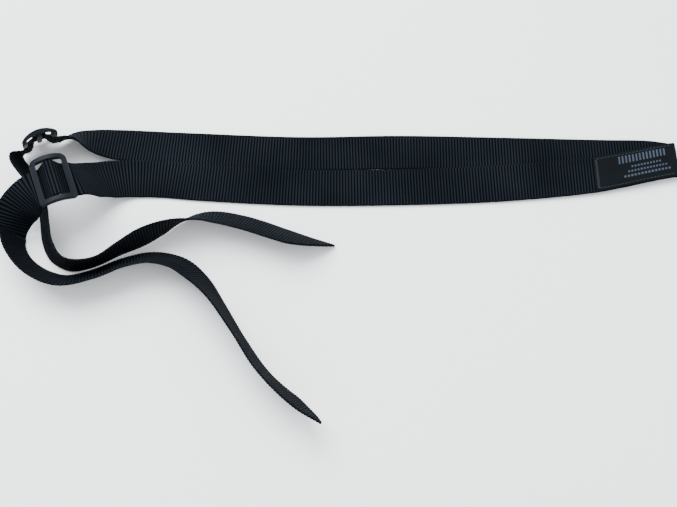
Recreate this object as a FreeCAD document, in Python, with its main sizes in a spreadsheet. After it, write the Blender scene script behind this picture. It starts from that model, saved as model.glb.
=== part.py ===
import FreeCAD
import Part
import math
import os

# A webbing strap tourniquet, laid on a floor (z = 0), all sizes in millimetres.
# One strap is folded in half at its right end, where a woven label wraps the fold.
# Its two legs run to the left, pass over the centre bar of a plastic slider each,
# turn back on edge in a wide bend and end as two free, slant-cut tails.
# +X runs along the legs towards the fold, +Y is away from the tails, +Z is up.

doc = FreeCAD.newDocument("tourniquet")
sheet = doc.addObject("Spreadsheet::Sheet", "Dimensions")
DIMENSIONS = [
    ("webbing_width", 25.4),
    ("webbing_thickness", 1.5),
    ("slider_length", 33.6),
    ("slider_width", 22.8),
    ("slider_corner", 3.4),
    ("window_length", 27.0),
    ("window_width", 15.8),
    ("window_corner", 1.0),
    ("bar_width", 3.4),
    ("bar_thickness", 2.6),
    ("bar_top", 2.4),
    ("bar_rounding", 0.8),
    ("arch_top", 4.6),
    ("arch_underside", 1.6),
    ("arch_outer_radius", 17.0),
    ("arch_inner_radius", 23.8),
    ("fold_x", 209.0),
    ("fold_bore_radius", 0.8),
    ("label_length", 50.0),
    ("label_thickness", 0.5),
    ("stitch_width", 0.5),
    ("stitch_inset", 1.8),
]
for row, (alias, value) in enumerate(DIMENSIONS, start=1):
    sheet.set("A%d" % row, alias)
    sheet.set("B%d" % row, str(value))
    sheet.setAlias("B%d" % row, alias)
doc.recompute()

size = {alias: value for alias, value in DIMENSIONS}
HALF_WIDTH = size["webbing_width"] / 2
HALF_THICKNESS = size["webbing_thickness"] / 2
UP = FreeCAD.Vector(0, 0, 1)
SECTION_SPACING = 5.0
CRIMP_SECTIONS = 19
FLOOR_GAP = 0.01
SQUARE_START = 40.0
SQUARE_END = 130.0
LABEL_GAP = 0.06
FOLD_STEPS = 12
LABEL_WIDTH_SHARE = 0.98
LABEL_WRAP_END = -48.0
STITCH_SHARE = 0.8
STITCH_GAP = 0.08


# ---------------------------------------------------------------- directions

def directions(heading, pitch, lean):
    """Unit vectors along and across a strap that travels on a heading.

    heading and pitch give the way the strap travels.  lean is the angle of its
    cross direction from upright, positive towards the right-hand side of travel.
    """
    heading, pitch, lean = (math.radians(a) for a in (heading, pitch, lean))
    along = FreeCAD.Vector(
        math.cos(heading) * math.cos(pitch),
        math.sin(heading) * math.cos(pitch),
        math.sin(pitch),
    )
    return along, cross_direction(along, lean)


def right_and_upward(along):
    right = along.cross(UP).normalize()
    return right, right.cross(along)


def cross_direction(along, lean):
    right, upward = right_and_upward(along)
    return upward * math.cos(lean) + right * math.sin(lean)


def slider_frame(origin, heading, pitch, lean, turn):
    """Where a slider sits: its origin, the strap's way through it, and outward."""
    along, across = directions(heading, pitch, lean)
    outward = across.cross(along) * turn
    return FreeCAD.Vector(*origin), along, across, outward


# The slider on the lower leg lies almost level, on the upper edge of the other
# strap.  The one on the upper leg stands on its end, outside the turning strap.
LOWER_LEAN = 90
UPPER_LEAN = -30
LOWER_SLIDER = slider_frame((-177.0, 46.3, 31.0), 201, 3, LOWER_LEAN, 1)
UPPER_SLIDER = slider_frame((-193.8, 86.2, 15.8), 206, 2, UPPER_LEAN, -1)


def beside(slider, distance, height, slope):
    """A route point by a slider: its distance along, its height, and the strap's slope.

    The strap stays square to the slider there, and its lean follows from that.
    """
    origin, along, across, outward = slider
    point = origin + along * distance + outward * height
    slope = math.radians(slope)
    right, upward = right_and_upward(along * math.cos(slope) + outward * math.sin(slope))
    lean = math.degrees(math.atan2(across.dot(right), across.dot(upward)))
    return (point.x, point.y, point.z, lean)


def resting_height(lean):
    """How high a strap's middle is when its lower edge rests on the floor."""
    angle = math.radians(lean)
    return HALF_WIDTH * math.cos(angle) + HALF_THICKNESS * abs(math.sin(angle))


def on_edge(x, y, lean):
    """A route point of a strap whose lower edge rests on the floor."""
    return (x, y, resting_height(lean), lean)


# -------------------------------------------------------------------- routes
# Each point is x, y, z of the strap's middle and its lean in degrees.

CRIMP_REACH = 9.5
CRIMP_FOOT = -3.7
CRIMP_SLOPE = 13
CRIMP_RISE = [(0.0, 3.8), (1.8, 3.4), (3.5, 1.6), (5.2, -1.0), (7.0, -2.8), (CRIMP_REACH, CRIMP_FOOT)]
CRIMP_PROFILE = [(-t, n) for t, n in reversed(CRIMP_RISE[1:])] + CRIMP_RISE

LOWER_LEG = [
    (209, 78.6, 3.85, 90), (206, 78.0, 3.85, 90), (200, 76.8, 3.85, 90), (190, 74.6, 3.6, 90),
    (174, 71.2, 3.1, 88), (156, 67.8, 2.7, 87),
    (97, 62.0, 2.0, 86), (34, 59.5, 1.75, 86), (-29, 59.2, 1.75, 86), (-92, 62.8, 1.75, 86),
    (-117, 65, 2.0, 85), (-136, 64.5, 3.8, 81), (-148, 61, 8.8, 78), (-156.5, 56.2, 16, 80),
    beside(LOWER_SLIDER, -13, -4.5, 13),
    beside(LOWER_SLIDER, -CRIMP_REACH, CRIMP_FOOT, CRIMP_SLOPE),
]
LOWER_TAIL = [
    beside(LOWER_SLIDER, CRIMP_REACH, CRIMP_FOOT, -CRIMP_SLOPE),
    beside(LOWER_SLIDER, 13, -4.5, -16),
    (-194.5, 38, 22.5, 70), (-201.5, 31, 15.8, 44),
    on_edge(-203.3, 21, 25), on_edge(-198.5, 7.5, 25), on_edge(-186.5, -4.5, 33),
    on_edge(-170, -10.5, 39), on_edge(-152, -6.5, 40), on_edge(-134, 1.5, 40),
    on_edge(-118, 5, 41), on_edge(-102, 1.4, 41), on_edge(-90, -8.5, 36),
    on_edge(-78, -23.5, 24), on_edge(-63, -47, 18.5), on_edge(-47.5, -70, 22),
    on_edge(-27, -89, 28.5), on_edge(-11.5, -98, 32),
]
UPPER_LEG = [
    (209, 80.2, 0.76, -90), (206, 80.9, 0.76, -90), (195, 82.6, 0.76, -90), (166, 83.2, 0.76, -90),
    (100, 85, 0.76, -90),
    (35, 86.4, 0.76, -90), (-30, 85.4, 0.76, -90), (-95, 88.2, 0.78, -90),
    on_edge(-120, 89.5, -89), on_edge(-140, 90.7, -84),
    on_edge(-152, 91.3, -78), on_edge(-163, 91.8, -66), (-172.5, 91.1, 9.8, -49),
    beside(UPPER_SLIDER, -13, -4.5, 13),
    beside(UPPER_SLIDER, -CRIMP_REACH, CRIMP_FOOT, CRIMP_SLOPE),
]
UPPER_TAIL = [
    beside(UPPER_SLIDER, CRIMP_REACH, CRIMP_FOOT, -CRIMP_SLOPE),
    beside(UPPER_SLIDER, 13, -4.5, -24),
    (-205.0, 72.7, 12.9, 13), on_edge(-198.7, 59, 16), on_edge(-191.5, 46.5, -4),
    on_edge(-186, 34.5, -19), on_edge(-182.5, 20, -20), on_edge(-177.5, 8.5, -12),
    on_edge(-166.5, -1, 8), on_edge(-151.5, 0.7, 17), on_edge(-137.5, 9.5, 12),
    on_edge(-125, 17, 5), on_edge(-112, 24, 12), on_edge(-98, 30.5, 31),
    on_edge(-85, 33.5, 42.5), on_edge(-65, 30, 46), on_edge(-40, 21, 45),
    on_edge(-25, 15.5, 43), on_edge(-10, 10.5, 41),
]
TIP_CUT_LENGTH = 27.0
TIP_CUT_SHARE = 1.9
TIP_CUT_CURVE = 1.6


def between(p0, p1, p2, p3, share):
    """A point of a centripetal Catmull-Rom curve, a share of the way from p1 to p2."""
    def knot(a, b):
        return math.sqrt(math.dist(a[:3], b[:3]))

    def mix(a, b, ta, tb, t):
        return [(u * (tb - t) + v * (t - ta)) / (tb - ta) for u, v in zip(a, b)]

    t1 = knot(p0, p1)
    t2 = t1 + knot(p1, p2)
    t3 = t2 + knot(p2, p3)
    t = t1 + (t2 - t1) * share
    a1 = mix(p0, p1, 0, t1, t)
    a2 = mix(p1, p2, t1, t2, t)
    a3 = mix(p2, p3, t2, t3, t)
    return mix(mix(a1, a2, 0, t2, t), mix(a2, a3, t1, t3, t), t1, t2, t)


def smooth_route(points):
    """The route's points and more on the curve between them, none below the floor."""
    before = [2 * a - b for a, b in zip(points[0], points[1])]
    after = [2 * a - b for a, b in zip(points[-1], points[-2])]
    padded = [before] + list(points) + [after]
    route = []
    for i in range(1, len(padded) - 2):
        steps = max(1, round(math.dist(padded[i][:3], padded[i + 1][:3]) / SECTION_SPACING))
        for step in range(steps):
            route.append(between(*padded[i - 1:i + 3], step / steps))
    route.append(list(points[-1]))
    for point in route:
        point[2] = max(point[2], resting_height(point[3]))
    return route


def section(centre, across, facing, shares=(1.0, 1.0), half_thickness=HALF_THICKNESS):
    """A flat strap's rectangular outline where it is cut square to its way.

    shares are how much of each half of the width is left below and above the middle.
    """
    bottom = across * (-HALF_WIDTH * shares[0])
    top = across * (HALF_WIDTH * shares[1])
    out = facing * half_thickness
    corners = [centre + bottom - out, centre + top - out, centre + top + out, centre + bottom + out]
    return Part.makePolygon(corners + corners[:1])


def squared(across, x):
    """The way across, turned to lie along Y as the strap comes near its fold."""
    share = min(1.0, max(0.0, (x - SQUARE_START) / (SQUARE_END - SQUARE_START)))
    level = math.copysign(math.sqrt(1 - across.z ** 2), across.y)
    return (across * (1 - share) + FreeCAD.Vector(0, level, across.z) * share).normalize()


def strap_frames(points):
    """Middle, way along, and way across at each section of a strap."""
    route = smooth_route(points)
    centres = [FreeCAD.Vector(*point[:3]) for point in route]
    last = len(route) - 1
    frames = []
    for i, point in enumerate(route):
        along = (centres[min(i + 1, last)] - centres[max(i - 1, 0)]).normalize()
        across = cross_direction(along, math.radians(point[3]))
        frames.append((centres[i], along, squared(across, point[0])))
    return frames


def strap_solid(points, cut_edge=None):
    """A solid strap along a route; a free tail's end is cut slantwise to a point."""
    frames = strap_frames(points)
    outlines = []
    left = 0.0
    for i in reversed(range(len(frames))):
        centre, along, across = frames[i]
        if i + 1 < len(frames):
            left += centre.distanceToPoint(frames[i + 1][0])
        nearness = max(0.0, 1 - left / TIP_CUT_LENGTH)
        cut = 1 - TIP_CUT_SHARE * nearness ** TIP_CUT_CURVE
        shares = {None: (1.0, 1.0), "lower": (cut, 1.0), "upper": (1.0, cut)}[cut_edge]
        outlines.insert(0, section(centre, across, along.cross(across), shares))
    return Part.makeLoft(outlines, True, True)


def crimp_solid(slider):
    """The wave of webbing that rides over a slider's centre bar."""
    origin, along, across, outward = slider
    level = along * math.cos(math.radians(CRIMP_SLOPE))
    rise = outward * math.sin(math.radians(CRIMP_SLOPE))
    middle = Part.BSplineCurve()
    middle.interpolate(
        Points=[origin + along * t + outward * n for t, n in CRIMP_PROFILE],
        InitialTangent=level + rise,
        FinalTangent=level - rise,
    )
    outlines = []
    for i in range(CRIMP_SECTIONS):
        u = middle.LastParameter * i / (CRIMP_SECTIONS - 1)
        way = FreeCAD.Vector(*middle.tangent(u)[0])
        outlines.append(section(middle.value(u), across, way.cross(across)))
    return Part.makeLoft(outlines, True, True)


# ------------------------------------------------------------ document objects

def bind(item, **expressions):
    for name, expression in expressions.items():
        item.setExpression(name.replace("__", "."), expression)
    return item


def solid_feature(label, shape):
    item = doc.addObject("Part::Feature", label)
    item.Shape = shape
    item.Label = label
    return item


UPRIGHT_EDGES = (1, 3, 5, 7)
LENGTHWISE_EDGES = (9, 10, 11, 12)


def rounded_block(name, length, width, corner):
    """A tall block, centred on the origin, with its four upright edges rounded."""
    block = doc.addObject("Part::Box", name + "_block")
    bind(
        block,
        Length=length,
        Width=width,
        Height="Dimensions.slider_width",
        Placement__Base__x="-%s / 2" % length,
        Placement__Base__y="-%s / 2" % width,
        Placement__Base__z="-Dimensions.slider_width / 2",
    )
    doc.recompute()
    rounded = doc.addObject("Part::Fillet", name)
    rounded.Base = block
    rounded.Edges = [(edge, size[corner], size[corner]) for edge in UPRIGHT_EDGES]
    return rounded


def arch(name, radius, top):
    """A long cylinder that runs across the strap, its crown at a given height."""
    barrel = doc.addObject("Part::Cylinder", name)
    bind(
        barrel,
        Radius="Dimensions." + radius,
        Height="Dimensions.slider_length * 2",
        Placement__Base__x="-Dimensions.slider_length",
        Placement__Base__z="Dimensions.%s - Dimensions.%s" % (top, radius),
    )
    barrel.Placement.Rotation = FreeCAD.Rotation(FreeCAD.Vector(0, 1, 0), 90)
    return barrel


def boolean(kind, name, base, tool):
    item = doc.addObject(kind, name)
    item.Base = base
    item.Tool = tool
    return item


def centre_bar(name):
    """The bar that the webbing turns over, set lower than the arch it spans."""
    block = doc.addObject("Part::Box", name + "_block")
    bind(
        block,
        Length="(Dimensions.window_length + Dimensions.slider_length) / 2",
        Width="Dimensions.bar_width",
        Height="Dimensions.bar_thickness",
        Placement__Base__x="-(Dimensions.window_length + Dimensions.slider_length) / 4",
        Placement__Base__y="-Dimensions.bar_width / 2",
        Placement__Base__z="Dimensions.bar_top - Dimensions.bar_thickness",
    )
    doc.recompute()
    rounded = doc.addObject("Part::Fillet", name)
    rounded.Base = block
    rounded.Edges = [(edge, size["bar_rounding"], size["bar_rounding"]) for edge in LENGTHWISE_EDGES]
    return rounded


def make_slider(label, slider):
    """A three-bar slider: an arched ring with a lower bar across its middle."""
    origin, along, across, outward = slider
    plate = rounded_block(
        label + "_plate", "Dimensions.slider_length", "Dimensions.slider_width", "slider_corner"
    )
    crown = arch(label + "_crown", "arch_outer_radius", "arch_top")
    belly = arch(label + "_belly", "arch_inner_radius", "arch_underside")
    crowned = boolean("Part::Common", label + "_crowned", plate, crown)
    shell = boolean("Part::Cut", label + "_shell", crowned, belly)
    opening = rounded_block(
        label + "_opening", "Dimensions.window_length", "Dimensions.window_width", "window_corner"
    )
    ring = boolean("Part::Cut", label + "_ring", shell, opening)
    moulding = boolean("Part::Fuse", label + "_moulding", ring, centre_bar(label + "_bar"))
    side_way = along.cross(outward)
    moulding.Placement = FreeCAD.Placement(origin, FreeCAD.Rotation(side_way, along, outward, "ZYX"))
    moulding.Label = label
    return moulding


def fold_frames(radius, last_angle=-90.0):
    """Middle, way across and facing round the fold, which carries the strap sideways a little."""
    height = size["fold_bore_radius"] + size["webbing_thickness"] + FLOOR_GAP
    shift = UPPER_LEG[0][1] - LOWER_LEG[0][1]
    frames = []
    for step in range(FOLD_STEPS + 1):
        angle = 90 + (last_angle - 90) * step / FOLD_STEPS
        facing = FreeCAD.Vector(math.cos(math.radians(angle)), 0, math.sin(math.radians(angle)))
        y = LOWER_LEG[0][1] + shift * (90 - angle) / 180
        middle = FreeCAD.Vector(size["fold_x"], y, height) + facing * radius
        frames.append((middle, FreeCAD.Vector(0, 1, 0), facing))
    return frames


def make_fold():
    """The half turn that joins the two legs at the right end."""
    radius = size["fold_bore_radius"] + HALF_THICKNESS
    outlines = [section(middle, across, facing) for middle, across, facing in fold_frames(radius)]
    return solid_feature("webbing_fold", Part.makeLoft(outlines, True, True))


def label_frames():
    """Middle, way along and outward way of the label: on the lower leg, round the fold."""
    lift = size["label_thickness"] / 2 + LABEL_GAP
    frames = []
    for centre, along, across in strap_frames(LOWER_LEG):
        if centre.x > size["fold_x"] - size["label_length"]:
            facing = across.cross(along)
            frames.insert(0, (centre + facing * (HALF_THICKNESS + lift), across, facing))
    radius = size["fold_bore_radius"] + size["webbing_thickness"] + lift
    return frames + fold_frames(radius, LABEL_WRAP_END)[1:]


def make_label():
    """A thin woven label laid on the lower leg's end and wrapped round the fold."""
    half = size["label_thickness"] / 2
    shares = (LABEL_WIDTH_SHARE, LABEL_WIDTH_SHARE)
    outlines = [section(middle, across, facing, shares, half) for middle, across, facing in label_frames()]
    return solid_feature("label", Part.makeLoft(outlines, True, True))


def make_label_stitching():
    """Two rows of thread near the label's long edges, as low ridges on its face."""
    width = size["stitch_width"]
    flat = label_frames()[:-FOLD_STEPS]
    ridges = []
    for side in (-1, 1):
        offset = side * (HALF_WIDTH - size["stitch_inset"])
        for (a, across, facing), (b, next_across, _) in zip(flat[:-1], flat[1:]):
            start = a + across * offset
            way = b + next_across * offset - start
            lift = facing * (size["label_thickness"] / 2 + STITCH_GAP)
            ridge = Part.makeBox(way.Length * STITCH_SHARE, width, width / 2)
            corner = start + way * (1 - STITCH_SHARE) / 2 - across * width / 2 + lift
            ridge.Placement = FreeCAD.Placement(corner, FreeCAD.Rotation(way, across, facing, "XZY"))
            ridges.append(ridge)
    return solid_feature("label_stitching", Part.makeCompound(ridges))


webbing = [
    solid_feature("webbing_lower_leg", strap_solid(LOWER_LEG)),
    solid_feature("webbing_lower_crimp", crimp_solid(LOWER_SLIDER)),
    solid_feature("webbing_lower_tail", strap_solid(LOWER_TAIL, "lower")),
    solid_feature("webbing_upper_leg", strap_solid(UPPER_LEG)),
    solid_feature("webbing_upper_crimp", crimp_solid(UPPER_SLIDER)),
    solid_feature("webbing_upper_tail", strap_solid(UPPER_TAIL, "upper")),
    make_fold(),
]
others = [
    make_slider("slider_lower", LOWER_SLIDER),
    make_slider("slider_upper", UPPER_SLIDER),
    make_label(),
    make_label_stitching(),
]
doc.recompute()

for item in doc.Objects:
    if "Invalid" in item.State or "Error" in item.State:
        raise RuntimeError("%s did not build: %s" % (item.Label, item.State))

os.makedirs("parts", exist_ok=True)
for item in webbing + others:
    if item.Shape.isNull() or not item.Shape.isValid():
        raise RuntimeError("%s has no valid shape" % item.Label)
    item.Shape.exportStep("parts/%s.step" % item.Label)
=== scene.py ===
import bisect
import math

import bpy
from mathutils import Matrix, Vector, noise


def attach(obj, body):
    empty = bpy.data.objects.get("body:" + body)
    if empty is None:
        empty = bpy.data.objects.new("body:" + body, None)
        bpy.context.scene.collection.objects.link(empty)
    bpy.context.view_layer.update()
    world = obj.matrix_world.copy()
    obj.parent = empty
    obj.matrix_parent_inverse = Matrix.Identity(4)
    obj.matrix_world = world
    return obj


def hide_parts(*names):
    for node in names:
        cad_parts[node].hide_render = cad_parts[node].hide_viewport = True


# The looks of a webbing strap tourniquet: ribbed webbing, moulded sliders and a
# woven label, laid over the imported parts.  Routes and strap sizes are in
# millimetres, as in the part's own source, and MM turns them into metres.

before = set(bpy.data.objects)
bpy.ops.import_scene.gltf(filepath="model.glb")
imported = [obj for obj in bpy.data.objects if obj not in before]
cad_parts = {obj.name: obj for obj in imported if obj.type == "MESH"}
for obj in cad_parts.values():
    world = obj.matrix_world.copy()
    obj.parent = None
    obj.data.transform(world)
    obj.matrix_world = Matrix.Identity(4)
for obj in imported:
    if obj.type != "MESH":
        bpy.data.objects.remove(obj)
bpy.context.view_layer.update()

MM = 0.001
UP = Vector((0, 0, 1))

WEBBING_WIDTH = 25.4
WEBBING_THICKNESS = 1.5
HALF_WIDTH = WEBBING_WIDTH / 2
HALF_THICKNESS = WEBBING_THICKNESS / 2
FOLD_X = 209.0
FOLD_RADIUS = 1.55
FLOOR_GAP = 0.01
SQUARE_START = 40.0
SQUARE_END = 130.0

RIB_PITCH = 1.88
RIB_ROWS = 6
RIB_DEPTH = 0.34
RIB_SHARPNESS = 0.6
RIB_UNEVENNESS = 0.12
RIB_GRAIN = 0.05
EDGE_SCALLOP = 0.13
YARN_WIDTH = 1.1
YARN_SHIFT = 0.55
UV_SCALE = 0.01
ROUTE_STEP = 1.0


# ---------------------------------------------------------------- directions

def right_and_upward(along):
    right = along.cross(UP).normalized()
    return right, right.cross(along)


def cross_direction(along, lean):
    """The way across a strap that leans from upright, towards its right-hand side."""
    right, upward = right_and_upward(along)
    return upward * math.cos(lean) + right * math.sin(lean)


def slider_frame(origin, heading, pitch, lean, turn):
    """A slider's origin, the strap's way through it, the way across, and outward."""
    heading, pitch, lean = (math.radians(a) for a in (heading, pitch, lean))
    along = Vector((
        math.cos(heading) * math.cos(pitch),
        math.sin(heading) * math.cos(pitch),
        math.sin(pitch),
    ))
    across = cross_direction(along, lean)
    return Vector(origin), along, across, across.cross(along) * turn


LOWER_SLIDER = slider_frame((-177.0, 46.3, 31.0), 201, 3, 90, 1)
UPPER_SLIDER = slider_frame((-193.8, 86.2, 15.8), 206, 2, -30, -1)


def beside(slider, distance, height, slope):
    """A route point by a slider, where the strap stays square to it."""
    origin, along, across, outward = slider
    point = origin + along * distance + outward * height
    slope = math.radians(slope)
    right, upward = right_and_upward(along * math.cos(slope) + outward * math.sin(slope))
    lean = math.degrees(math.atan2(across.dot(right), across.dot(upward)))
    return (point.x, point.y, point.z, lean)


def resting_height(lean):
    """How high a strap's middle is when its lower edge rests on the floor."""
    angle = math.radians(lean)
    return HALF_WIDTH * math.cos(angle) + HALF_THICKNESS * abs(math.sin(angle))


def on_edge(x, y, lean):
    return (x, y, resting_height(lean), lean)


# -------------------------------------------------------------------- routes
# x, y, z of the strap's middle and its lean in degrees, from the fold to each tip.

def over_bar(slider):
    """The wave of webbing over a slider's centre bar: distance, height and slope."""
    rise = [(-7.0, -2.8, 35), (-5.2, -1.0, 52), (-3.5, 1.6, 54), (-1.8, 3.4, 27), (0.0, 3.8, 0)]
    fall = [(-t, n, -slope) for t, n, slope in reversed(rise[:-1])]
    return [beside(slider, *point) for point in rise + fall]


LOWER_ROUTE = [
    (209, 78.6, 3.85, 90), (206, 78.0, 3.85, 90), (200, 76.8, 3.85, 90), (190, 74.6, 3.6, 90),
    (174, 71.2, 3.1, 88), (156, 67.8, 2.7, 87),
    (97, 62.0, 2.0, 86), (34, 59.5, 1.75, 86), (-29, 59.2, 1.75, 86), (-92, 62.8, 1.75, 86),
    (-117, 65, 2.0, 85), (-136, 64.5, 3.8, 81), (-148, 61, 8.8, 78), (-156.5, 56.2, 16, 80),
    beside(LOWER_SLIDER, -13, -4.5, 13),
    beside(LOWER_SLIDER, -9.5, -3.7, 13),
    *over_bar(LOWER_SLIDER),
    beside(LOWER_SLIDER, 9.5, -3.7, -13),
    beside(LOWER_SLIDER, 13, -4.5, -16),
    (-194.5, 38, 22.5, 70), (-201.5, 31, 15.8, 44),
    on_edge(-203.3, 21, 25), on_edge(-198.5, 7.5, 25), on_edge(-186.5, -4.5, 33),
    on_edge(-170, -10.5, 39), on_edge(-152, -6.5, 40), on_edge(-134, 1.5, 40),
    on_edge(-118, 5, 41), on_edge(-102, 1.4, 41), on_edge(-90, -8.5, 36),
    on_edge(-78, -23.5, 24), on_edge(-63, -47, 18.5), on_edge(-47.5, -70, 22),
    on_edge(-27, -89, 28.5), on_edge(-11.5, -98, 32),
]
UPPER_ROUTE = [
    (209, 80.2, 0.76, -90), (206, 80.9, 0.76, -90), (195, 82.6, 0.76, -90), (166, 83.2, 0.76, -90),
    (100, 85, 0.76, -90),
    (35, 86.4, 0.76, -90), (-30, 85.4, 0.76, -90), (-95, 88.2, 0.78, -90),
    on_edge(-120, 89.5, -89), on_edge(-140, 90.7, -84),
    on_edge(-152, 91.3, -78), on_edge(-163, 91.8, -66), (-172.5, 91.1, 9.8, -49),
    beside(UPPER_SLIDER, -13, -4.5, 13),
    beside(UPPER_SLIDER, -9.5, -3.7, 13),
    *over_bar(UPPER_SLIDER),
    beside(UPPER_SLIDER, 9.5, -3.7, -13),
    beside(UPPER_SLIDER, 13, -4.5, -24),
    (-205.0, 72.7, 12.9, 13), on_edge(-198.7, 59, 16), on_edge(-191.5, 46.5, -4),
    on_edge(-186, 34.5, -19), on_edge(-182.5, 20, -20), on_edge(-177.5, 8.5, -12),
    on_edge(-166.5, -1, 8), on_edge(-151.5, 0.7, 17), on_edge(-137.5, 9.5, 12),
    on_edge(-125, 17, 5), on_edge(-112, 24, 12), on_edge(-98, 30.5, 31),
    on_edge(-85, 33.5, 42.5), on_edge(-65, 30, 46), on_edge(-40, 21, 45),
    on_edge(-25, 15.5, 43), on_edge(-10, 10.5, 41),
]
TIP_CUT_LENGTH = 27.0
TIP_CUT_SHARE = 1.9
TIP_CUT_CURVE = 1.6


def between(p0, p1, p2, p3, share):
    """A point of a centripetal Catmull-Rom curve, a share of the way from p1 to p2."""
    def knot(a, b):
        return math.sqrt(math.dist(a[:3], b[:3]))

    def mix(a, b, ta, tb, t):
        return [(u * (tb - t) + v * (t - ta)) / (tb - ta) for u, v in zip(a, b)]

    t1 = knot(p0, p1)
    t2 = t1 + knot(p1, p2)
    t3 = t2 + knot(p2, p3)
    t = t1 + (t2 - t1) * share
    a1 = mix(p0, p1, 0, t1, t)
    a2 = mix(p1, p2, t1, t2, t)
    a3 = mix(p2, p3, t2, t3, t)
    return mix(mix(a1, a2, 0, t2, t), mix(a2, a3, t1, t3, t), t1, t2, t)


def squared(across, x):
    """The way across, turned to lie along Y as the strap comes near its fold."""
    share = min(1.0, max(0.0, (x - SQUARE_START) / (SQUARE_END - SQUARE_START)))
    level = math.copysign(math.sqrt(1 - across.z ** 2), across.y)
    return (across * (1 - share) + Vector((0, level, across.z)) * share).normalized()


def strap_line(points):
    """(middle, way across) along a route, about a millimetre apart."""
    before = [2 * a - b for a, b in zip(points[0], points[1])]
    after = [2 * a - b for a, b in zip(points[-1], points[-2])]
    padded = [before] + list(points) + [after]
    route = []
    for i in range(1, len(padded) - 2):
        steps = max(1, round(math.dist(padded[i][:3], padded[i + 1][:3]) / ROUTE_STEP))
        for step in range(steps):
            route.append(between(*padded[i - 1:i + 3], step / steps))
    route.append(list(points[-1]))
    centres = []
    for x, y, z, lean in route:
        centres.append(Vector((x, y, max(z, resting_height(lean)))))
    last = len(route) - 1
    line = []
    for i, point in enumerate(route):
        along = (centres[min(i + 1, last)] - centres[max(i - 1, 0)]).normalized()
        across = cross_direction(along, math.radians(point[3]))
        line.append((centres[i], squared(across, point[0])))
    return line


def fold_line(first_angle, last_angle, steps):
    """(middle, way across) round the fold, which carries the strap sideways a little."""
    height = WEBBING_THICKNESS + FOLD_RADIUS - HALF_THICKNESS + FLOOR_GAP
    first_y, last_y = LOWER_ROUTE[0][1], UPPER_ROUTE[0][1]
    line = []
    for step in range(steps + 1):
        degrees = first_angle + (last_angle - first_angle) * step / steps
        angle = math.radians(degrees)
        y = first_y + (last_y - first_y) * (90 - degrees) / 180
        middle = Vector((
            FOLD_X + math.cos(angle) * FOLD_RADIUS, y, height + math.sin(angle) * FOLD_RADIUS
        ))
        line.append((middle, Vector((0, 1, 0))))
    return line


def whole_strap():
    """The strap's line from the lower tail's tip, round the fold, to the upper tail's."""
    lower = list(reversed(strap_line(LOWER_ROUTE)))
    upper = [(middle, -across) for middle, across in strap_line(UPPER_ROUTE)]
    fold = fold_line(80, -80, 8)
    return lower + fold + upper


class Line:
    """A line of (middle, way across), read by the distance along it."""

    def __init__(self, line):
        self.line = line
        self.reach = [0.0]
        for (a, _), (b, _) in zip(line[:-1], line[1:]):
            self.reach.append(self.reach[-1] + (b - a).length)
        self.length = self.reach[-1]

    def at(self, distance):
        """Middle, way across and facing at a distance along the line."""
        i = bisect.bisect_left(self.reach, distance, 1, len(self.reach) - 1) - 1
        span = self.reach[i + 1] - self.reach[i]
        share = (distance - self.reach[i]) / span if span > 0 else 0.0
        (a, across_a), (b, across_b) = self.line[i], self.line[i + 1]
        along = self.way(i).lerp(self.way(i + 1), share).normalized()
        across = across_a.lerp(across_b, share).normalized()
        return a.lerp(b, share), across, along.cross(across).normalized()

    def way(self, i):
        before = self.line[max(i - 1, 0)][0]
        after = self.line[min(i + 1, len(self.line) - 1)][0]
        return (after - before).normalized()


# -------------------------------------------------------------------- meshes

def mesh_object(name, vertices, faces, material, uvs=None, smooth=True):
    """A mesh in the row frame from millimetre vertices; uvs are one per vertex."""
    mesh = bpy.data.meshes.new(name)
    mesh.from_pydata([Vector(v) * MM for v in vertices], [], faces)
    mesh.materials.append(material)
    if uvs:
        layer = mesh.uv_layers.new(name="UVMap")
        for loop in mesh.loops:
            layer.data[loop.index].uv = uvs[loop.vertex_index]
    mesh.polygons.foreach_set("use_smooth", [smooth] * len(mesh.polygons))
    mesh.update()
    obj = bpy.data.objects.new(name, mesh)
    bpy.context.scene.collection.objects.link(obj)
    return obj


def band_faces(rows, columns):
    """Quads of a closed tube of rows, each a ring of columns, with capped ends."""
    faces = []
    for row in range(rows - 1):
        for column in range(columns):
            after = (column + 1) % columns
            here, there = row * columns, (row + 1) * columns
            faces.append((here + column, here + after, there + after, there + column))
    faces.append(tuple(reversed(range(columns))))
    faces.append(tuple((rows - 1) * columns + column for column in range(columns)))
    return faces


ACROSS_SHARES = (0.0, 0.14, 0.28, 0.42, 0.56, 0.7, 0.82, 0.91, 0.965, 1.0)
EDGE_ROUNDING = 0.94


def strap_ring():
    """(share of half width, share of half thickness, side) round the section."""
    face = [-v for v in reversed(ACROSS_SHARES[1:])] + list(ACROSS_SHARES)
    return [(v, 1) for v in face] + [(v, -1) for v in reversed(face)]


def edge_thickness(share):
    """How thick the strap is there, thinner where its edge is rounded."""
    past = max(0.0, (abs(share) - EDGE_ROUNDING) / (1 - EDGE_ROUNDING))
    return math.sqrt(1 - 0.75 * past * past)


def tip_share(left):
    """How much of a half width is left near a slant-cut tip."""
    nearness = max(0.0, 1 - left / TIP_CUT_LENGTH)
    return 1 - TIP_CUT_SHARE * nearness ** TIP_CUT_CURVE


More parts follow.
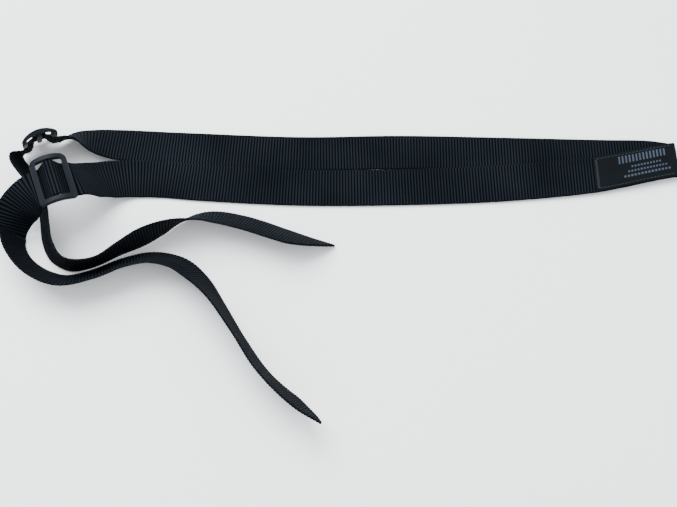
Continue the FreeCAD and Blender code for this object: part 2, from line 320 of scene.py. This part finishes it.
def make_webbing(material):
    """The whole strap as one mesh, with a real rib across it every pitch."""
    line = Line(whole_strap())
    ring = strap_ring()
    step = RIB_PITCH / RIB_ROWS
    rows = int(line.length / step)
    vertices = []
    uvs = []
    for row in range(rows + 1):
        distance = row * line.length / rows
        middle, across, facing = line.at(distance)
        phase = row / RIB_ROWS
        bulge = abs(math.sin(math.pi * phase)) ** RIB_SHARPNESS
        uneven = RIB_UNEVENNESS * noise.noise(Vector((math.floor(phase) * 0.37, 0, 0)))
        low_side = tip_share(distance)
        high_side = tip_share(line.length - distance)
        for share, side in ring:
            grain = RIB_GRAIN * noise.noise(Vector((phase * 0.9, share * 7, side * 3)))
            half = HALF_THICKNESS - RIB_DEPTH * (1 - bulge) * (1 + uneven) + grain * bulge
            width = HALF_WIDTH - EDGE_SCALLOP * (1 - bulge)
            reach = share * width
            reach = max(reach, -width * low_side, -width * high_side)
            offset = across * reach + facing * half * side * edge_thickness(share)
            vertices.append(middle + offset)
            uvs.append((phase * UV_SCALE, reach * UV_SCALE))
    strap = mesh_object("webbing_strap", vertices, band_faces(rows + 1, len(ring)), material, uvs)
    return strap, line.length


SLIDER_VOXEL = 0.22
SLIDER_SMOOTHING = 0.5
SLIDER_SMOOTHING_STEPS = 9


def make_slider(node, material):
    """A moulded slider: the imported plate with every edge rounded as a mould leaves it."""
    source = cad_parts[node]
    obj = source.copy()
    obj.data = source.data.copy()
    for key in list(obj.keys()):
        del obj[key]
    obj.name = node + "_moulded"
    bpy.context.scene.collection.objects.link(obj)
    remesh = obj.modifiers.new("Remesh", "REMESH")
    remesh.mode = "VOXEL"
    remesh.voxel_size = SLIDER_VOXEL * MM
    soften = obj.modifiers.new("Soften", "SMOOTH")
    soften.factor = SLIDER_SMOOTHING
    soften.iterations = SLIDER_SMOOTHING_STEPS
    evaluated = obj.evaluated_get(bpy.context.evaluated_depsgraph_get())
    moulded = bpy.data.meshes.new_from_object(evaluated)
    obj.modifiers.clear()
    obj.data = moulded
    moulded.materials.clear()
    moulded.materials.append(material)
    moulded.polygons.foreach_set("use_smooth", [True] * len(moulded.polygons))
    return obj


# ----------------------------------------------------------------- materials

class Shader:
    """A node material, built a node at a time."""

    def __init__(self, name, roughness, specular=0.5):
        self.material = bpy.data.materials.new(name)
        self.material.use_nodes = True
        self.tree = self.material.node_tree
        self.surface = self.tree.nodes["Principled BSDF"]
        self.surface.inputs["Roughness"].default_value = roughness
        self.surface.inputs["Specular IOR Level"].default_value = specular

    def node(self, kind, values=(), **properties):
        item = self.tree.nodes.new("ShaderNode" + kind)
        for name, value in properties.items():
            setattr(item, name, value)
        for socket, value in values:
            if isinstance(value, bpy.types.NodeSocket):
                self.tree.links.new(value, item.inputs[socket])
            else:
                item.inputs[socket].default_value = value
        return item

    def maths(self, operation, *values):
        return self.node("Math", enumerate(values), operation=operation).outputs[0]

    def noise(self, where, scale, detail=3.0):
        values = [("Vector", where), ("Scale", scale), ("Detail", detail)]
        return self.node("TexNoise", values).outputs["Fac"]

    def ramp(self, factor, *stops):
        item = self.node("ValToRGB", [("Fac", factor)])
        elements = item.color_ramp.elements
        while len(elements) < len(stops):
            elements.new(0.5)
        for element, (place, colour) in zip(elements, stops):
            element.position = place
            element.color = (*colour, 1)
        return item.outputs["Color"]

    def mix(self, factor, a, b):
        item = self.node("Mix", [("Factor", factor)], data_type="RGBA")
        for socket, value in ((item.inputs[6], a), (item.inputs[7], b)):
            if isinstance(value, bpy.types.NodeSocket):
                self.tree.links.new(value, socket)
            else:
                socket.default_value = (*value, 1)
        return item.outputs[2]

    def bump(self, height, strength, distance):
        values = [("Height", height), ("Strength", strength), ("Distance", distance)]
        item = self.node("Bump", values)
        self.link(item.outputs["Normal"], "Normal")

    def link(self, output, socket):
        self.tree.links.new(output, self.surface.inputs[socket])


def webbing_material():
    """Black nylon with a painted cool highlight on each rib's crest and painted shade in the
    grooves, with the warp's yarns across each rib.
    """
    shader = Shader("webbing_nylon", 0.8, 0.02)
    uv = shader.node("SeparateXYZ", [(0, shader.node("TexCoord").outputs["UV"])])
    rib = shader.maths("MULTIPLY", uv.outputs["X"], 1 / UV_SCALE)
    place = shader.maths("MULTIPLY", uv.outputs["Y"], 1 / UV_SCALE)
    phase = shader.maths("FRACT", rib)
    arch = shader.maths("SINE", shader.maths("MULTIPLY", phase, math.pi))
    # A rib's arch, which sets how much painted highlight its crest gets.
    crest_highlight_mask = shader.maths("POWER", arch, 2.2)
    row = shader.maths("FLOOR", rib)
    shifted = shader.maths("ADD", place, shader.maths("MULTIPLY", row, YARN_SHIFT))
    yarn_wave = shader.maths("SINE", shader.maths("MULTIPLY", shifted, math.pi / YARN_WIDTH))
    yarn = shader.maths("ABSOLUTE", yarn_wave)
    where = shader.node("TexCoord").outputs["Object"]
    patches = shader.noise(where, 22.0)
    fuzz = shader.noise(where, 2600.0, 2.0)
    # Painted shade in the rib grooves and a painted cool highlight on the crests, each varied at
    # random in patches.
    groove_painted_shade = shader.ramp(patches, (0.3, (0.0002, 0.0002, 0.0002)), (0.7, (0.0004, 0.0004, 0.0004)))
    crest_painted_highlight = shader.ramp(patches, (0.3, (0.0062, 0.0092, 0.0132)), (0.7, (0.0128, 0.017, 0.0228)))
    yarn_shade = shader.maths("ADD", shader.maths("MULTIPLY", yarn, 0.55), 0.45)
    painted_highlight_share = shader.maths("MULTIPLY", crest_highlight_mask, yarn_shade)
    # The painted highlight follows each rib's arch and is broken by the warp's yarns.
    shader.link(shader.mix(painted_highlight_share, groove_painted_shade, crest_painted_highlight), "Base Color")
    yarn_height = shader.maths("MULTIPLY", yarn, 0.7)
    height = shader.maths("ADD", yarn_height, shader.maths("MULTIPLY", fuzz, 0.5))
    shader.bump(height, 0.55, 0.00022)
    return shader.material


def slider_material():
    """Blue-grey moulded plastic with a fine matte grain and slight handling marks."""
    shader = Shader("slider_plastic", 0.5, 0.08)
    where = shader.node("TexCoord").outputs["Object"]
    broad = shader.noise(where, 60.0)
    fine = shader.noise(where, 3200.0, 2.0)
    tone = shader.ramp(broad, (0.3, (0.0030, 0.0048, 0.0073)), (0.7, (0.0047, 0.0073, 0.0108)))
    shader.link(tone, "Base Color")
    worn = shader.maths("ADD", shader.maths("MULTIPLY", broad, 0.18), 0.36)
    shader.link(worn, "Roughness")
    shader.bump(fine, 0.25, 0.00008)
    return shader.material


def cloth_material(name, dark, light, pitch, roughness=0.75):
    """A plain fine weave of a given thread pitch in metres."""
    shader = Shader(name, roughness, 0.05)
    where = shader.node("SeparateXYZ", [(0, shader.node("TexCoord").outputs["UV"])])
    turns = 2 * math.pi / pitch
    warp = shader.maths("SINE", shader.maths("MULTIPLY", where.outputs["X"], turns))
    weft = shader.maths("SINE", shader.maths("MULTIPLY", where.outputs["Y"], turns))
    weave = shader.maths("MULTIPLY", warp, weft)
    share = shader.maths("ADD", shader.maths("MULTIPLY", weave, 0.5), 0.5)
    patches = shader.noise(shader.node("TexCoord").outputs["Object"], 90.0)
    woven = shader.maths("MULTIPLY", share, 0.6)
    worn = shader.maths("ADD", woven, shader.maths("MULTIPLY", patches, 0.4))
    shader.link(shader.ramp(worn, (0.25, dark), (0.75, light)), "Base Color")
    shader.bump(share, 0.5, 0.00012)
    return shader.material


def floor_material():
    """A pale, plain studio surface with a barely visible grain."""
    shader = Shader("studio_floor", 0.9, 0.2)
    grain = shader.noise(shader.node("TexCoord").outputs["Object"], 6.0)
    tone = shader.ramp(grain, (0.3, (0.95, 0.95, 0.95)), (0.7, (0.97, 0.97, 0.97)))
    shader.link(tone, "Base Color")
    return shader.material


# --------------------------------------------------------------------- label

LABEL_LENGTH = 52.5
LABEL_THICKNESS = 0.45
LABEL_GAP = 0.06
LABEL_HALF_WIDTH = 12.3
LABEL_CORNER = 2.6
LABEL_STEP = 0.5
LABEL_WRAP_END = -46.0
LABEL_COLUMNS = 12
LABEL_PUCKER = 0.07
BORDER_INSET = 1.7
STITCH_LENGTH = 1.7
STITCH_PITCH = 2.35
STITCH_START = 2.6
STITCH_STOP = 1.5
ZIGZAG_PITCH = 0.95
ZIGZAG_NEAR = 1.2
ZIGZAG_FAR = 2.9
THREAD_RADIUS = 0.2
THREAD_RISE = 1.3
THREAD_SINK = 0.7
MARK_SINK = -0.03
MARK_RISE = 0.05


def label_line():
    """The label's middle line on the strap's outside: its cut end first, then round the fold."""
    lift = HALF_THICKNESS + LABEL_GAP + LABEL_THICKNESS / 2
    flat = [(m, w) for m, w in strap_line(LOWER_ROUTE) if m.x > FOLD_X - LABEL_LENGTH]
    flat.reverse()
    fold = fold_line(80, LABEL_WRAP_END, 10)
    reader = Line(flat + fold)
    line = []
    for i in range(int(reader.length / LABEL_STEP) + 1):
        middle, across, facing = reader.at(i * LABEL_STEP)
        line.append((middle + facing * lift, across))
    return line


LABEL = Line(label_line())


def on_label(distance, offset, height=0.0):
    """A point on the label: along from its cut end, across from its middle, and up."""
    middle, across, facing = LABEL.at(distance)
    return middle + across * offset + facing * (LABEL_THICKNESS / 2 + height)


def make_label(material):
    """A woven label with rounded corners at its cut end, wrapped round the fold."""
    columns = [i / LABEL_COLUMNS for i in range(-LABEL_COLUMNS, LABEL_COLUMNS + 1)]
    ring = [(v, 1) for v in columns] + [(v, -1) for v in reversed(columns)]
    count = int(LABEL.length / LABEL_STEP)
    vertices = []
    uvs = []
    for row in range(count + 1):
        distance = row * LABEL.length / count
        middle, across, facing = LABEL.at(distance)
        short = max(0.0, LABEL_CORNER - distance)
        half_width = LABEL_HALF_WIDTH - LABEL_CORNER + math.sqrt(LABEL_CORNER ** 2 - short ** 2)
        for share, side in ring:
            wave = math.cos(2 * math.pi * distance / STITCH_PITCH)
            pucker = LABEL_PUCKER * wave * abs(share) ** 6
            half = LABEL_THICKNESS / 2 * (1 if abs(share) < 1 else 0.6)
            vertices.append(middle + across * share * half_width + facing * (half * side + pucker))
            uvs.append((distance * MM, share * half_width * MM))
    return mesh_object("label_woven", vertices, band_faces(count + 1, len(ring)), material, uvs)


def thread_run(start, end, side_steps=6):
    """Vertices and faces of one stitch: a short thread that dips into the cloth at both ends."""
    vertices = []
    rings = 7
    way = (end - start).normalized()
    side = way.cross(UP).normalized()
    upward = side.cross(way)
    for i in range(rings):
        share = i / (rings - 1)
        rise = THREAD_RISE * math.sin(math.pi * share) - THREAD_SINK
        centre = start.lerp(end, share) + upward * THREAD_RADIUS * rise
        for k in range(side_steps):
            turn = 2 * math.pi * k / side_steps
            outward = side * math.cos(turn) + upward * math.sin(turn)
            vertices.append(centre + outward * THREAD_RADIUS)
    return vertices, band_faces(rings, side_steps)


def make_stitching(material):
    """Border stitches along both long edges and a close zigzag across the cut end."""
    pairs = []
    edge = LABEL_HALF_WIDTH - BORDER_INSET
    for side in (-1, 1):
        distance = STITCH_START
        while distance < LABEL_LENGTH - STITCH_STOP:
            start = on_label(distance, side * edge)
            end = on_label(distance + STITCH_LENGTH, side * edge)
            pairs.append((start, end))
            distance += STITCH_PITCH
    zigzag = []
    for i in range(int(2 * edge / ZIGZAG_PITCH) + 1):
        distance = ZIGZAG_NEAR if i % 2 else ZIGZAG_FAR
        zigzag.append(on_label(distance, -edge + i * ZIGZAG_PITCH))
    pairs.extend(zip(zigzag[:-1], zigzag[1:]))
    vertices = []
    faces = []
    for start, end in pairs:
        run, run_faces = thread_run(start, end)
        faces.extend(tuple(index + len(vertices) for index in face) for face in run_faces)
        vertices.extend(run)
    uvs = [(v.x * MM, v.y * MM) for v in vertices]
    return mesh_object("label_thread", vertices, faces, material, uvs)


def make_marks(material):
    """Generic woven marks: a row of tall bars over three rows of short dashes."""
    # Each row: first and last distance along the label, offset across it, then the
    # dashes' size across, their size along and their pitch.
    rows = [
        (16.5, 50.5, 6.6, 5.4, 1.15, 2.3),
        (24.5, 47.0, 0.6, 1.3, 1.2, 2.05),
        (22.0, 49.0, -2.6, 1.3, 1.2, 2.05),
        (19.0, 51.0, -5.8, 1.5, 1.4, 2.25),
    ]
    vertices = []
    faces = []
    for first, last, offset, tall, wide, pitch in rows:
        count = int((last - first) / pitch)
        for i in range(count):
            left = first + i * pitch
            corners = [(left, -1), (left + wide, -1), (left + wide, 1), (left, 1)]
            start = len(vertices)
            for height in (MARK_SINK, MARK_RISE):
                for distance, side in corners:
                    vertices.append(on_label(distance, offset + side * tall / 2, height))
            faces.append((start + 4, start + 5, start + 6, start + 7))
            faces.append((start + 3, start + 2, start + 1, start))
            for k in range(4):
                after = (k + 1) % 4
                faces.append((start + k, start + after, start + 4 + after, start + 4 + k))
    uvs = [(v.x * MM, v.y * MM) for v in vertices]
    return mesh_object("label_marks", vertices, faces, material, uvs, smooth=False)


# --------------------------------------------------------------------- stage

FLOOR_SIZE = 8.0
FLOOR_DROP = -0.0004
CAMERA_TARGET = Vector((-0.005, 0.013, 0))
CAMERA_ELEVATION = math.radians(62)
CAMERA_DISTANCE = 0.675
CAMERA_LENS = 58.5


def make_floor(material):
    bpy.ops.mesh.primitive_plane_add(size=FLOOR_SIZE, location=(0, 0, FLOOR_DROP))
    floor = bpy.context.object
    floor.name = "studio_floor"
    floor.data.materials.append(material)


def area_light(name, place, aim, width, power, colour):
    data = bpy.data.lights.new(name, "AREA")
    data.size = width
    data.energy = power
    data.color = colour
    light = bpy.data.objects.new(name, data)
    light.location = place
    way = Vector(aim) - Vector(place)
    light.rotation_euler = way.to_track_quat("-Z", "Y").to_euler()
    bpy.context.scene.collection.objects.link(light)


def make_lights():
    area_light(
        "key", place=(-0.5, 0.55, 1.1), aim=(0, 0, 0), width=1.2, power=46.0,
        colour=(0.95, 0.98, 1.0),
    )
    area_light(
        "fill", place=(0.9, -0.7, 0.9), aim=(0, 0, 0), width=1.2, power=9.0,
        colour=(1.0, 0.99, 0.97),
    )
    world = bpy.data.worlds.new("studio")
    bpy.context.scene.world = world
    world.use_nodes = True
    background = world.node_tree.nodes["Background"]
    background.inputs["Color"].default_value = (0.93, 0.96, 1.0, 1)
    background.inputs["Strength"].default_value = 1.45


def make_camera():
    """Above and in front of the strap, looking down at about 62 degrees."""
    data = bpy.data.cameras.new("camera")
    data.sensor_width = 36.0
    data.lens = CAMERA_LENS
    camera = bpy.data.objects.new("camera", data)
    towards = Vector((0, -math.cos(CAMERA_ELEVATION), math.sin(CAMERA_ELEVATION)))
    camera.location = CAMERA_TARGET + towards * CAMERA_DISTANCE
    look = CAMERA_TARGET - camera.location
    camera.rotation_euler = look.to_track_quat("-Z", "Y").to_euler()
    bpy.context.scene.collection.objects.link(camera)
    bpy.context.scene.camera = camera


# --------------------------------------------------------------------- build

WEBBING_NODES = [
    "webbing_lower_leg", "webbing_lower_crimp", "webbing_lower_tail", "webbing_fold",
    "webbing_upper_leg", "webbing_upper_crimp", "webbing_upper_tail",
]

make_camera()
make_lights()
make_floor(floor_material())

webbing, strap_length = make_webbing(webbing_material())
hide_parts(*WEBBING_NODES)
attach(webbing, "strap")

plastic = slider_material()
for node, body in (("slider_lower", "lower_slider"), ("slider_upper", "upper_slider")):
    moulded = make_slider(node, plastic)
    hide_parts(node)
    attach(moulded, body)

label_cloth = cloth_material(
    "label_weave", (0.0013, 0.0018, 0.0026), (0.004, 0.0056, 0.0078), 0.0005
)
thread = cloth_material("label_thread", (0.016, 0.021, 0.028), (0.045, 0.054, 0.065), 0.0004)
mark_thread = cloth_material(
    "label_mark_weave", (0.02, 0.028, 0.038), (0.05, 0.067, 0.088), 0.0005
)
label = make_label(label_cloth)
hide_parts("label")
stitching = make_stitching(thread)
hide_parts("label_stitching")
marks = make_marks(mark_thread)
label_pieces = ((label, "label_fabric"), (stitching, "label_thread"), (marks, "label_thread"))
for piece, slot_name in label_pieces:
    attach(piece, "strap")
